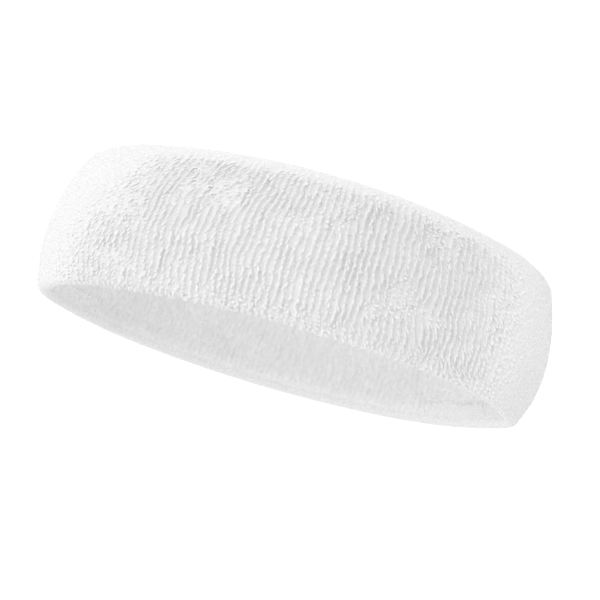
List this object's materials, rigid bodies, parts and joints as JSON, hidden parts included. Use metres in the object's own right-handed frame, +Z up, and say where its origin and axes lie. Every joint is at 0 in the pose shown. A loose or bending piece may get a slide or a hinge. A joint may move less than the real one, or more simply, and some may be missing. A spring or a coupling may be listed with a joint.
{
  "type": "sports headband",
  "caption": "Elastic terry sweatband for the head: a ribbed towelling tube turned double, with rolled rims and a closing seam inside.",
  "frame": {"origin": "middle of the footprint, on the plane that the lower rim stands on", "axes": "+Z up along the axis of the head opening, X along the long axis of the oval, -Y towards the forehead"},
  "size_m": [0.1708, 0.0838, 0.0498],
  "materials": {
    "terry_pile": "white cotton terry, matt, looped pile in fine vertical ribs",
    "inner_terry_pile": "white cotton terry, matt, finer and flatter loops against the head",
    "rim_terry": "white cotton terry rolled over the rim, matt and smooth",
    "backing_knit": "white plain-knit polyester ground, matt",
    "covered_elastic": "white covered elastic yarn, slightly shiny",
    "seam_edge": "white raw knit edge, trimmed and pressed flat",
    "seam_thread": "white twisted polyester thread, slight sheen"
  },
  "bodies": {
    "root": {"outer_terry_face": "terry_pile", "inner_terry_face": "inner_terry_pile", "upper_rolled_rim": "rim_terry", "lower_rolled_rim": "rim_terry", "outer_backing_knit": "backing_knit", "inner_backing_knit": "backing_knit", "outer_elastic_yarns": "covered_elastic", "inner_elastic_yarns": "covered_elastic", "seam_allowance": "seam_edge", "seam_thread": "seam_thread"}
  },
  "joints": []
}
